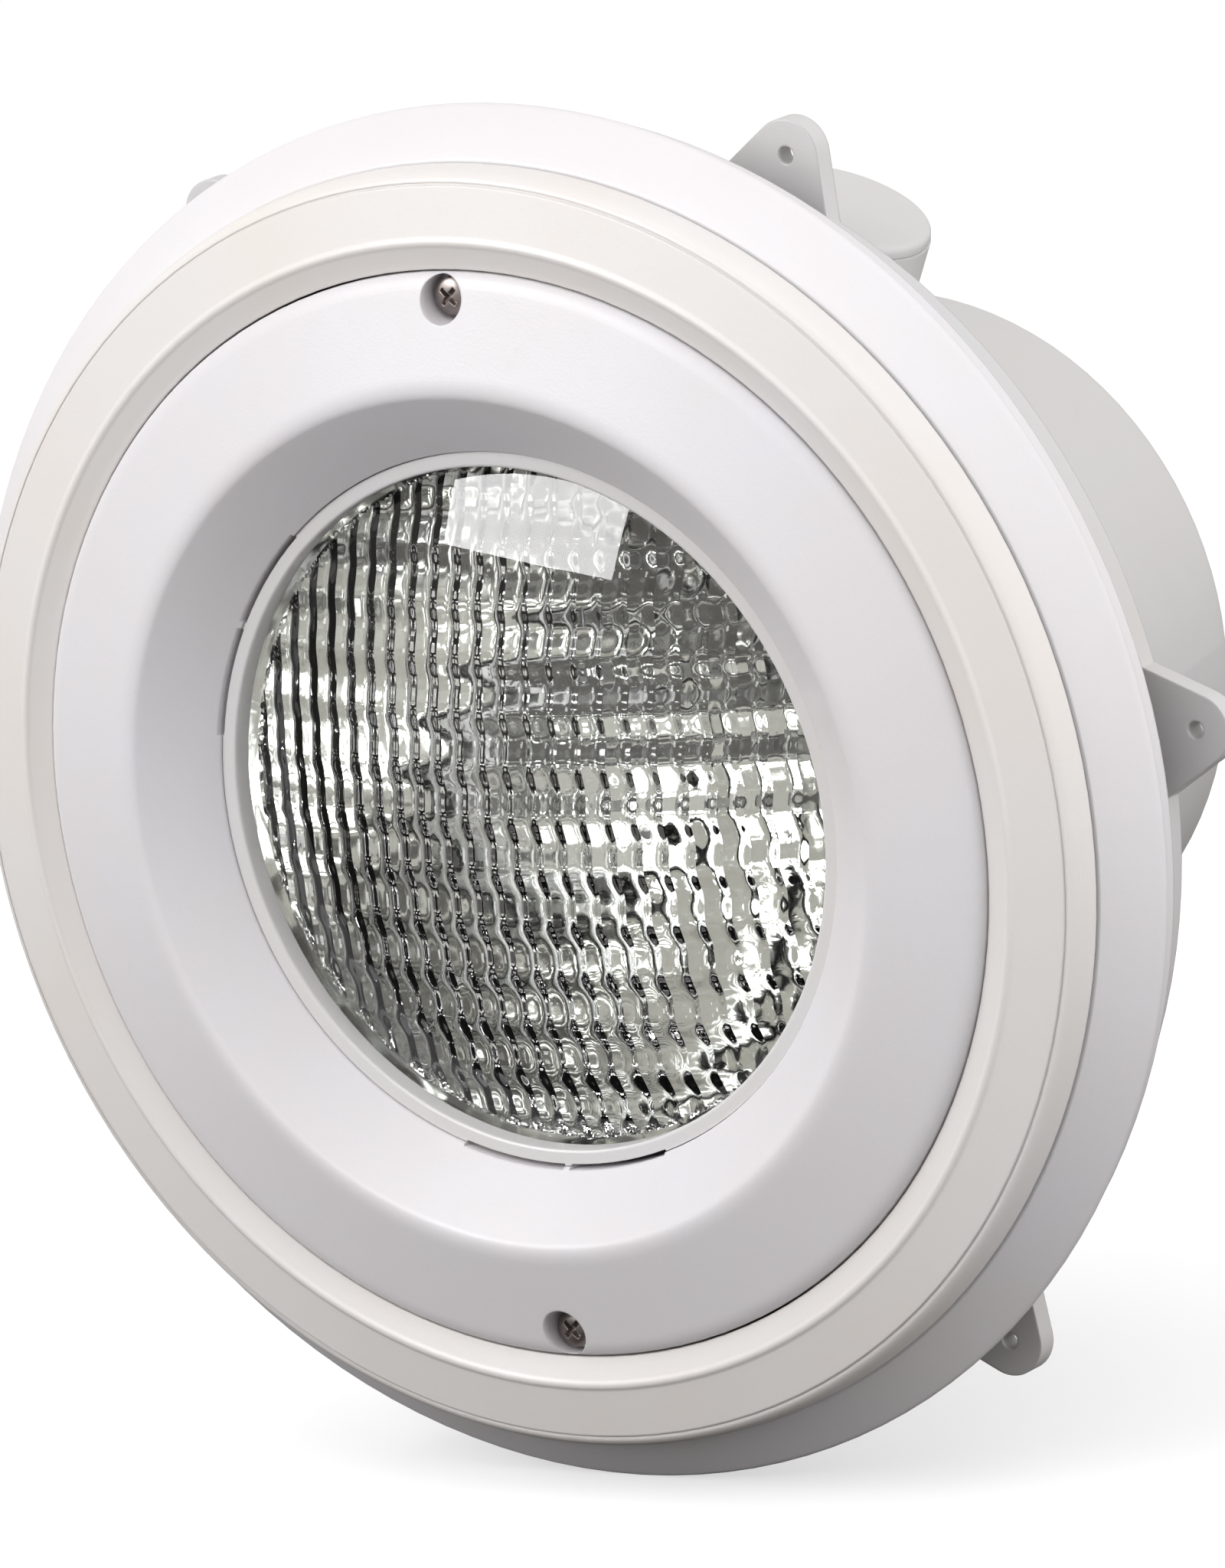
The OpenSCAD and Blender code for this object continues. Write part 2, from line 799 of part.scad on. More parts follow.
niche_shell();
collar_ring();
face_ring();
niche_gasket();
face_gasket();
ring_screws();
screw_inserts();
conduit_plug();
plug_o_ring();
bezel();
lens_ring();
lens_gasket();
lamp_lens();
lamp_reflector();
filament();
filament_posts();
lamp_ferrules();
lamp_terminals();
ring_terminals();
terminal_screws();
lead_wires();
rim_cushion();
lamp_housing();
housing_gasket();
housing_screws();
gland_body();
gland_locknut();
gland_seal();
gland_potting();
gland_washer();
gland_nut();
captive_screw(upper);  // upper_screw
captive_washer(upper);  // upper_washer
captive_retainer(upper);  // upper_retainer
captive_screw(lower);  // lower_screw
captive_washer(lower);  // lower_washer
captive_retainer(lower);  // lower_retainer
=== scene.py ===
import math

import bmesh
import bpy
import numpy as np
from mathutils import Matrix, Vector


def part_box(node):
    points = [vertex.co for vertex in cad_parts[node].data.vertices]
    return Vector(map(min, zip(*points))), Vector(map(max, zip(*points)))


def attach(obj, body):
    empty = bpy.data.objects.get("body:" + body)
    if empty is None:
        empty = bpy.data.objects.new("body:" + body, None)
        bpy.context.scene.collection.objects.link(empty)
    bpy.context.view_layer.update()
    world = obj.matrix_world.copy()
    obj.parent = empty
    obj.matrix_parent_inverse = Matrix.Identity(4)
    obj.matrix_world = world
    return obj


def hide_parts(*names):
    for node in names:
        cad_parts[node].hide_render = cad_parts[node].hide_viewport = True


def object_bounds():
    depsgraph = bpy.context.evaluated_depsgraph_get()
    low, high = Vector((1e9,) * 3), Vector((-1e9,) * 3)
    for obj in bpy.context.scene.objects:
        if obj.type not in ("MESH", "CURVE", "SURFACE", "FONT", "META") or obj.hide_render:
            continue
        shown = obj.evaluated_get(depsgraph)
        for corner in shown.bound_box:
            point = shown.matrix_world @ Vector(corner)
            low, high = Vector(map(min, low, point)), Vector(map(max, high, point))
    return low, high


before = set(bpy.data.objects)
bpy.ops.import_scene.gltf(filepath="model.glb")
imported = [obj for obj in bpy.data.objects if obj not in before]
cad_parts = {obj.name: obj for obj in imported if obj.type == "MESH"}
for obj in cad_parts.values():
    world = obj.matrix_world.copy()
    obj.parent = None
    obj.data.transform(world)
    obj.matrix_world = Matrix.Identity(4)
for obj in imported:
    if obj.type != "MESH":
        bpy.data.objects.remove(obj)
cad_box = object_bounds()
MM = 0.001
TAU = 2 * math.pi


# ------------------------------------------------------------------ camera, light and floor

def camera():
    """Three quarter view from the front right, a little above the lamp's axis."""
    back = Vector((0.5558, -0.8032, 0.2141)).normalized()
    right = Vector((0.8310, 0.5443, -0.1146))
    right = (right - right.dot(back) * back).normalized()
    up = back.cross(right)
    # the place is given in radii of the bezel, from the middle of its face
    bezel_r, bezel_face = 0.129, Vector((0, -0.043, 0))
    away, aside, above = 25, 0.18625, 0.0616
    place = bezel_r * (away * back + aside * right + above * up) + bezel_face
    data = bpy.data.cameras.new("camera")
    data.sensor_width = 36
    data.lens = 320.6
    data.clip_end = 50
    cam = bpy.data.objects.new("camera", data)
    cam.matrix_world = Matrix((
        (right.x, up.x, back.x, place.x),
        (right.y, up.y, back.y, place.y),
        (right.z, up.z, back.z, place.z),
        (0, 0, 0, 1),
    ))
    bpy.context.scene.collection.objects.link(cam)
    bpy.context.scene.camera = cam


def towards(azimuth, elevation):
    """A unit vector out from the lamp. Azimuth is from the front, positive to the right."""
    az, el = math.radians(azimuth), math.radians(elevation)
    return Vector((math.sin(az) * math.cos(el), -math.cos(az) * math.cos(el), math.sin(el)))


def softbox(name, azimuth, elevation, distance, width, height, strength, colour=(1, 1, 1)):
    """An area light that looks at the lamp. Its strength is the brightness of its face."""
    direction = towards(azimuth, elevation)
    data = bpy.data.lights.new(name, "AREA")
    data.shape = "RECTANGLE"
    data.size, data.size_y = width, height
    data.energy = strength * width * height * math.pi
    data.color = colour
    light = bpy.data.objects.new(name, data)
    light.location = direction * distance
    light.rotation_euler = direction.to_track_quat("Z", "Y").to_euler()
    bpy.context.scene.collection.objects.link(light)
    return light


def studio():
    """Key, side and fill lights for the dull parts, and two panels that only glass and metal mirror."""
    key = softbox("key", -33, 30, 2.2, 1.15, 1.35, 2.9, (1.0, 0.99, 0.985))
    side = softbox("side", 88, -4, 2.6, 1.0, 1.4, 9.0, (1.0, 0.995, 0.99))
    fill = softbox("fill", -62, -4, 2.6, 1.0, 1.4, 2.6, (1.0, 0.99, 0.98))
    for light in (key, side, fill):
        light.visible_glossy = light.visible_transmission = False
    for name, azimuth, elevation, width, height, strength in (
        ("glint_key", -30, 31, 1.05, 1.08, 15.0),
        ("glint_slit", 25, 2, 0.16, 0.5, 13.0),
    ):
        softbox(name, azimuth, elevation, 2.2, width, height, strength).visible_diffuse = False


def sky():
    """A bright sky over a dark ground for dull parts, a room for mirrored rays, white for the camera."""
    world = bpy.data.worlds.new("studio")
    bpy.context.scene.world = world
    world.use_nodes = True
    t = world.node_tree
    t.nodes.clear()
    out = t.nodes.new("ShaderNodeOutputWorld")
    coord = t.nodes.new("ShaderNodeTexCoord")
    # how far a ray points up, with a slight lean to the front
    dot = t.nodes.new("ShaderNodeVectorMath")
    dot.operation = "DOT_PRODUCT"
    dot.inputs[1].default_value = Vector((0.0, -0.26, 0.965)).normalized()
    t.links.new(coord.outputs["Generated"], dot.inputs[0])
    ramp = t.nodes.new("ShaderNodeValToRGB")
    t.links.new(math_node(t, "MULTIPLY_ADD", dot.outputs["Value"], 0.5, 0.5), ramp.inputs[0])
    stops = ramp.color_ramp.elements
    stops[0].position, stops[0].color = 0.0, (0.07, 0.062, 0.058, 1)
    stops[1].position, stops[1].color = 1.0, (0.93, 0.925, 0.94, 1)
    for place, colour in ((0.44, (0.10, 0.09, 0.086, 1)), (0.57, (0.88, 0.875, 0.885, 1))):
        stops.new(place).color = colour
    # what the glass and the metal mirror: a grey room, with a dark patch at each side and two bright panels
    room = (0.62, 0.60, 0.56, 1)
    for azimuth, elevation, inner, outer, colour in (
        (52, 8, 8, 26, (0.15, 0.148, 0.145, 1)),
        (5, 71, 20, 25, (2.6, 2.6, 2.6, 1)),
        (60, 60, 10, 14, (2.6, 2.6, 2.55, 1)),
        (-75, 5, 12, 24, (0.20, 0.195, 0.185, 1)),
    ):
        near = t.nodes.new("ShaderNodeVectorMath")
        near.operation = "DOT_PRODUCT"
        near.inputs[1].default_value = towards(azimuth, elevation)
        t.links.new(coord.outputs["Generated"], near.inputs[0])
        inside = t.nodes.new("ShaderNodeMapRange")
        inside.inputs["From Min"].default_value = math.cos(math.radians(outer))
        inside.inputs["From Max"].default_value = math.cos(math.radians(inner))
        t.links.new(near.outputs["Value"], inside.inputs["Value"])
        blend = t.nodes.new("ShaderNodeMix")
        blend.data_type = "RGBA"
        t.links.new(inside.outputs[0], blend.inputs[0])
        if isinstance(room, tuple):
            blend.inputs[6].default_value = room
        else:
            t.links.new(room, blend.inputs[6])
        blend.inputs[7].default_value = colour
        room = blend.outputs[2]
    path = t.nodes.new("ShaderNodeLightPath").outputs
    glow = t.nodes.new("ShaderNodeMix")
    glow.data_type = "RGBA"
    t.links.new(path["Is Diffuse Ray"], glow.inputs[0])
    t.links.new(room, glow.inputs[6])
    t.links.new(ramp.outputs[0], glow.inputs[7])
    lit = t.nodes.new("ShaderNodeBackground")
    t.links.new(glow.outputs[2], lit.inputs["Color"])
    white = t.nodes.new("ShaderNodeBackground")
    white.inputs["Color"].default_value = (1, 1, 1, 1)
    mix = t.nodes.new("ShaderNodeMixShader")
    t.links.new(path["Is Camera Ray"], mix.inputs[0])
    t.links.new(lit.outputs[0], mix.inputs[1])
    t.links.new(white.outputs[0], mix.inputs[2])
    t.links.new(mix.outputs[0], out.inputs[0])
    bpy.context.scene.view_settings.view_transform = "Standard"


def math_node(t, kind, *values):
    """A math node's output. Numbers are set on its inputs and sockets are linked to them."""
    n = t.nodes.new("ShaderNodeMath")
    n.operation = kind
    for i, v in enumerate(values):
        if isinstance(v, (int, float)):
            n.inputs[i].default_value = v
        else:
            t.links.new(v, n.inputs[i])
    return n.outputs[0]


def floor():
    """A round pale floor whose rim fades out, so that no horizon shows. Only the camera sees it pale."""
    low = cad_box[0][2]
    rings, spokes, size = 24, 96, 2.4
    verts = [(0, 0, low)]
    for i in range(1, rings + 1):
        for j in range(spokes):
            a = TAU * j / spokes
            r = size * (i / rings) ** 1.5
            verts.append((r * math.cos(a), r * math.sin(a), low))
    faces = [(0, 1 + j, 1 + (j + 1) % spokes) for j in range(spokes)]
    for i in range(rings - 1):
        for j in range(spokes):
            a, b = 1 + i * spokes + j, 1 + i * spokes + (j + 1) % spokes
            faces.append((a, a + spokes, b + spokes, b))
    mesh = bpy.data.meshes.new("floor")
    mesh.from_pydata(verts, [], faces)
    o = bpy.data.objects.new("floor", mesh)
    bpy.context.scene.collection.objects.link(o)
    m = bpy.data.materials.new("pale_floor")
    m.use_nodes = True
    t = m.node_tree
    t.nodes.clear()
    out = t.nodes.new("ShaderNodeOutputMaterial")
    surface = t.nodes.new("ShaderNodeBsdfPrincipled")
    surface.inputs["Base Color"].default_value = (0.6, 0.6, 0.6, 1)
    surface.inputs["Roughness"].default_value = 0.9
    surface.inputs["Specular IOR Level"].default_value = 0.1
    surface.inputs["Emission Color"].default_value = (1, 1, 1, 1)
    surface.inputs["Emission Strength"].default_value = 0.55
    clear = t.nodes.new("ShaderNodeBsdfTransparent")
    coord = t.nodes.new("ShaderNodeTexCoord")
    length = t.nodes.new("ShaderNodeVectorMath")
    length.operation = "LENGTH"
    t.links.new(coord.outputs["Object"], length.inputs[0])
    fade = t.nodes.new("ShaderNodeMapRange")
    fade.inputs["From Min"].default_value = 0.7
    fade.inputs["From Max"].default_value = 2.2
    t.links.new(length.outputs["Value"], fade.inputs["Value"])
    dull = t.nodes.new("ShaderNodeBsdfDiffuse")
    dull.inputs["Color"].default_value = (0.09, 0.085, 0.08, 1)
    seen = t.nodes.new("ShaderNodeMixShader")
    t.links.new(t.nodes.new("ShaderNodeLightPath").outputs["Is Camera Ray"], seen.inputs[0])
    t.links.new(dull.outputs[0], seen.inputs[1])
    t.links.new(surface.outputs[0], seen.inputs[2])
    mix = t.nodes.new("ShaderNodeMixShader")
    t.links.new(fade.outputs[0], mix.inputs[0])
    t.links.new(seen.outputs[0], mix.inputs[1])
    t.links.new(clear.outputs[0], mix.inputs[2])
    t.links.new(mix.outputs[0], out.inputs[0])
    mesh.materials.append(m)


# ------------------------------------------------------------------ materials

class Nodes:
    """A Principled material, with short ways to add the nodes that its patterns need."""

    def __init__(self, name, colour, roughness, metallic=0.0, **sockets):
        self.m = bpy.data.materials.new(name)
        self.m.use_nodes = True
        self.t = self.m.node_tree
        self.t.nodes.clear()
        self.out = self.t.nodes.new("ShaderNodeOutputMaterial")
        self.p = self.t.nodes.new("ShaderNodeBsdfPrincipled")
        self.t.links.new(self.p.outputs[0], self.out.inputs[0])
        self.p.inputs["Base Color"].default_value = (*colour, 1)
        self.p.inputs["Roughness"].default_value = roughness
        self.p.inputs["Metallic"].default_value = metallic
        for key, value in sockets.items():
            self.p.inputs[key.replace("_", " ")].default_value = value
        self.coord = self.t.nodes.new("ShaderNodeTexCoord").outputs["Object"]

    def link(self, a, b):
        self.t.links.new(a, b)
        return b

    def scaled(self, scale):
        n = self.t.nodes.new("ShaderNodeMapping")
        n.inputs["Scale"].default_value = scale
        self.link(self.coord, n.inputs["Vector"])
        return n.outputs[0]

    def noise(self, scale, detail=3.0, rough=0.55, vector=None, distortion=0.0):
        n = self.t.nodes.new("ShaderNodeTexNoise")
        n.inputs["Scale"].default_value = scale
        n.inputs["Detail"].default_value = detail
        n.inputs["Roughness"].default_value = rough
        n.inputs["Distortion"].default_value = distortion
        self.link(vector or self.coord, n.inputs["Vector"])
        return n.outputs[0]

    def ramp(self, value, low, high, out_low, out_high):
        n = self.t.nodes.new("ShaderNodeMapRange")
        for key, v in (("From Min", low), ("From Max", high), ("To Min", out_low), ("To Max", out_high)):
            n.inputs[key].default_value = v
        self.link(value, n.inputs["Value"])
        return n.outputs[0]

    def math(self, kind, *values):
        return math_node(self.t, kind, *values)

    def mix(self, factor, a, b):
        n = self.t.nodes.new("ShaderNodeMix")
        n.data_type = "RGBA"
        for socket, v in ((n.inputs[0], factor), (n.inputs[6], a), (n.inputs[7], b)):
            if isinstance(v, tuple):
                socket.default_value = (*v, 1)
            elif isinstance(v, (int, float)):
                socket.default_value = v
            else:
                self.link(v, socket)
        return n.outputs[2]

    def round_edges(self, radius, samples=6):
        n = self.t.nodes.new("ShaderNodeBevel")
        n.samples = samples
        n.inputs["Radius"].default_value = radius
        return n.outputs[0]

    def edge_mask(self, rounded):
        """0 on open faces, up to 1 where the rounded normal leaves the flat one."""
        geometry = self.t.nodes.new("ShaderNodeNewGeometry")
        dot = self.t.nodes.new("ShaderNodeVectorMath")
        dot.operation = "DOT_PRODUCT"
        self.link(rounded, dot.inputs[0])
        self.link(geometry.outputs["Normal"], dot.inputs[1])
        return self.ramp(dot.outputs["Value"], 0.995, 0.86, 0.0, 1.0)

    def bump(self, height, distance, strength=1.0, normal=None):
        n = self.t.nodes.new("ShaderNodeBump")
        n.inputs["Strength"].default_value = strength
        n.inputs["Distance"].default_value = distance
        self.link(height, n.inputs["Height"])
        if normal:
            self.link(normal, n.inputs["Normal"])
        return n.outputs[0]

    def finish(self, colour=None, roughness=None, normal=None):
        if colour:
            self.link(colour, self.p.inputs["Base Color"])
        if roughness:
            self.link(roughness, self.p.inputs["Roughness"])
        if normal:
            self.link(normal, self.p.inputs["Normal"])
        return self.m


def shade(colour, factor, warm=0.0):
    r, g, b = (min(1.0, c * factor) for c in colour)
    return (min(1.0, r * (1 + warm)), g, b * (1 - warm))


def moulded(name, colour, roughness, edge=0.0005, grain=0.00003, grain_scale=1500, warm=0.03,
            dust=0.06, **sockets):
    """Injection-moulded plastic: spark-eroded grain, slow tone change, faint scuffs, polished edges."""
    n = Nodes(name, colour, roughness, **sockets)
    rounded = n.round_edges(edge)
    edges = n.edge_mask(rounded)
    tone = n.noise(14, 4, 0.6)
    fine = n.noise(grain_scale, 2, 0.6)
    scuffs = n.noise(90, 6, 0.7, vector=n.scaled((1.0, 0.25, 2.2)), distortion=0.6)
    marks = n.ramp(scuffs, 0.60, 0.72, 0.0, 1.0)
    base = n.mix(n.ramp(tone, 0.3, 0.7, 0.0, 1.0), shade(colour, 1.0), shade(colour, 0.955, warm))
    base = n.mix(n.math("MULTIPLY", n.ramp(fine, 0.35, 0.65, 0.0, 1.0), dust), base, shade(colour, 0.8))
    base = n.mix(n.math("MULTIPLY", marks, 0.10), base, shade(colour, 0.86, warm))
    base = n.mix(n.math("MULTIPLY", edges, 0.35), base, shade(colour, 1.05))
    rough = n.ramp(tone, 0.3, 0.7, roughness - 0.03, roughness + 0.05)
    rough = n.math("ADD", rough, n.math("MULTIPLY", marks, 0.12))
    rough = n.math("SUBTRACT", rough, n.math("MULTIPLY", edges, 0.10))
    height = n.math("ADD", fine, n.math("MULTIPLY", n.noise(260, 2, 0.5), 0.6))
    return n.finish(base, rough, n.bump(height, grain, 1.0, rounded))


def rubbery(name, colour, roughness):
    """Moulded seal: fine pebble, bloom in patches, a little dust on its edges."""
    n = Nodes(name, colour, roughness, Specular_IOR_Level=0.35)
    rounded = n.round_edges(0.0004)
    edges = n.edge_mask(rounded)
    bloom = n.noise(45, 5, 0.65)
    base = n.mix(n.ramp(bloom, 0.45, 0.75, 0.0, 1.0), colour, shade(colour, 1.7))
    base = n.mix(n.math("MULTIPLY", edges, 0.4), base, shade(colour, 2.4))
    rough = n.ramp(bloom, 0.3, 0.7, roughness - 0.08, roughness + 0.08)
    return n.finish(base, rough, n.bump(n.noise(2200, 2, 0.5), 0.00004, 1.0, rounded))


def metal(name, colour, roughness, streak=(1.0, 14.0, 1.0), grime=0.4, edge=0.00025, scratch=0.00002):
    """Turned or drawn metal: fine streaks, scratches, dull patches and brighter edges."""
    n = Nodes(name, colour, roughness, 1.0)
    rounded = n.round_edges(edge)
    edges = n.edge_mask(rounded)
    lines = n.noise(420, 3, 0.7, vector=n.scaled(streak))
    patches = n.noise(110, 5, 0.6)
    dull = n.ramp(patches, 0.45, 0.7, 0.0, grime)
    base = n.mix(dull, colour, shade(colour, 0.45, 0.06))
    base = n.mix(n.ramp(lines, 0.3, 0.7, 0.0, 0.35), base, shade(colour, 0.8))
    base = n.mix(n.math("MULTIPLY", edges, 0.7), base, shade(colour, 1.35))
    rough = n.ramp(lines, 0.3, 0.7, roughness - 0.06, roughness + 0.1)
    rough = n.math("ADD", rough, n.math("MULTIPLY", dull, 0.35))
    return n.finish(base, rough, n.bump(lines, scratch, 1.0, rounded))


def pressed_glass():
    """Hard pressed glass, clear with a breath of grey-green, faint flow lines and water marks."""
    n = Nodes("pressed_glass", (0.955, 0.972, 0.965), 0.0, IOR=1.474, Transmission_Weight=1.0)
    marks = n.noise(55, 6, 0.6, distortion=0.8)
    rough = n.ramp(marks, 0.5, 0.78, 0.0, 0.07)
    flow = n.noise(30, 3, 0.5, vector=n.scaled((1.0, 1.0, 0.35)))
    return n.finish(None, rough, n.bump(flow, 0.0001, 0.6))


def aluminised():
    """Vapour-coated bowl: bright mirror with a ripple from the pressing and hazy patches."""
    n = Nodes("aluminised_bowl", (0.90, 0.90, 0.885), 0.04, 1.0)
    haze = n.noise(38, 5, 0.6)
    base = n.mix(n.ramp(haze, 0.5, 0.8, 0.0, 0.6), (0.90, 0.90, 0.885), (0.72, 0.70, 0.66))
    rough = n.ramp(haze, 0.35, 0.75, 0.02, 0.10)
    ripple = n.noise(70, 2, 0.5)
    return n.finish(base, rough, n.bump(ripple, 0.0003, 0.6))


def lamp_back():
    """The outside of the bowl: silvered glass seen from behind, greyed and streaky."""
    n = Nodes("lamp_back", (0.62, 0.63, 0.64), 0.18, 0.85, Coat_Weight=0.6, Coat_Roughness=0.06)
    cloud = n.noise(24, 6, 0.65, distortion=0.5)
    base = n.mix(n.ramp(cloud, 0.4, 0.75, 0.0, 1.0), (0.66, 0.67, 0.68), (0.40, 0.40, 0.40))
    return n.finish(base, n.ramp(cloud, 0.3, 0.7, 0.12, 0.34), n.bump(n.noise(160, 3, 0.5), 0.00008))


def make_materials():
    """One material for each slot of the CAD, under the slot's name."""
    return {
        "bezel_white": moulded("bezel_white", (0.80, 0.79, 0.82), 0.42, edge=0.0007,
                               Specular_IOR_Level=0.38),
        "ring_white": moulded("ring_white", (0.80, 0.795, 0.80), 0.30, edge=0.0004),
        "cream": moulded("cream", (0.83, 0.813, 0.80), 0.38, edge=0.0008, grain=0.00002, warm=0.04,
                         Specular_IOR_Level=0.36),
        "collar_white": moulded("collar_white", (0.82, 0.81, 0.835), 0.36, edge=0.0009, grain=0.00002,
                                Specular_IOR_Level=0.36),
        "niche_grey": moulded("niche_grey", (0.68, 0.68, 0.685), 0.46, edge=0.0008, grain=0.00004),
        "housing_grey": moulded("housing_grey", (0.60, 0.605, 0.615), 0.44, edge=0.0006, grain=0.00005),
        "black_plastic": moulded("black_plastic", (0.035, 0.035, 0.038), 0.40, edge=0.0003, dust=0.3),
        "nylon": moulded("nylon", (0.70, 0.68, 0.62), 0.38, edge=0.0003),
        "rubber": rubbery("seal_rubber", (0.028, 0.028, 0.031), 0.62),
        "gasket_grey": rubbery("gasket_grey", (0.20, 0.20, 0.205), 0.7),
        "wire_red": rubbery("wire_sleeve", (0.30, 0.025, 0.022), 0.45),
        "resin": moulded("cast_resin", (0.075, 0.07, 0.062), 0.16, edge=0.0003, grain=0.00008,
                         grain_scale=120, Coat_Weight=0.5),
        "lens_glass": pressed_glass(),
        "mirror": aluminised(),
        "steel": metal("stainless", (0.62, 0.61, 0.60), 0.26),
        "screw_steel": metal("screw_steel", (0.30, 0.265, 0.255), 0.32, grime=0.6),
        "brass": metal("brass", (0.72, 0.50, 0.20), 0.26),
        "tungsten": metal("tungsten", (0.22, 0.22, 0.235), 0.42, grime=0.3, scratch=0.000004),
    }


# ------------------------------------------------------------------ mesh helpers

def make_piece(name, verts, faces, material, body, replaces, sharp=35.0, more=()):
    """A mesh object in the part's frame, smooth but for edges sharper than a given angle."""
    mesh = bpy.data.meshes.new(name)
    mesh.from_pydata([tuple(v) for v in verts], [], [tuple(f) for f in faces])
    bm = bmesh.new()
    bm.from_mesh(mesh)
    bmesh.ops.remove_doubles(bm, verts=bm.verts, dist=1e-7)
    bmesh.ops.dissolve_degenerate(bm, edges=bm.edges, dist=1e-7)
    bmesh.ops.recalc_face_normals(bm, faces=bm.faces)
    limit = math.radians(sharp)
    for e in bm.edges:
        e.smooth = len(e.link_faces) == 2 and e.calc_face_angle(0) < limit
    for f in bm.faces:
        f.smooth = True
    bm.to_mesh(mesh)
    bm.free()
    for m in (material, *more):
        mesh.materials.append(m)
    o = bpy.data.objects.new(name, mesh)
    bpy.context.scene.collection.objects.link(o)
    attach(o, body)
    if replaces:
        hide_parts(*replaces)
    return o


def turned(profile, spokes):
    """Vertices and faces of an open profile of (radius, y) turned round the lamp's axis."""
    verts, faces, n = [], [], len(profile)
    for j in range(spokes):
        a = TAU * j / spokes
        verts += [(r * math.cos(a), y, r * math.sin(a)) for r, y in profile]
    for j in range(spokes):
        k = (j + 1) % spokes
        faces += [(j * n + i, j * n + i + 1, k * n + i + 1, k * n + i) for i in range(n - 1)]
    return verts, faces


def rounded(points, radii, steps):
    """A closed outline with every corner rounded, as far as its sides allow."""
    out, n = [], len(points)
    for i in range(n):
        p, q, r = (Vector(points[(i + d) % n]) for d in (-1, 0, 1))
        a, b = p - q, r - q
        cut = min(radii[i], a.length * 0.45, b.length * 0.45)
        s, e = q + a.normalized() * cut, q + b.normalized() * cut
        for k in range(steps + 1):
            u = k / steps
            out.append(tuple((1 - u) ** 2 * s + 2 * u * (1 - u) * q + u * u * e))
    return out


# ------------------------------------------------------------------ the lamp

# millimetres, as in the CAD: the lamp's flange lies between LENS_FRONT and LENS_REAR
LENS_FRONT, LENS_REAR, DOME_R, LAMP_R, DOME_H, LENS_T = -28.3, -24.3, 84.0, 89.0, 17.2, 4.0
FOCAL, REFLECTOR_R, WALL = 23.3, 86.0, 4.0
APEX = LENS_REAR + REFLECTOR_R ** 2 / (4 * FOCAL)


def dome_y(r, rim_r, rim_y):
    """The y of a ball's cap of height DOME_H at radius r, whose rim lies at rim_r and rim_y."""
    ball = (rim_r ** 2 + DOME_H ** 2) / (2 * DOME_H)
    return rim_y - DOME_H + ball - math.sqrt(ball ** 2 - r * r)


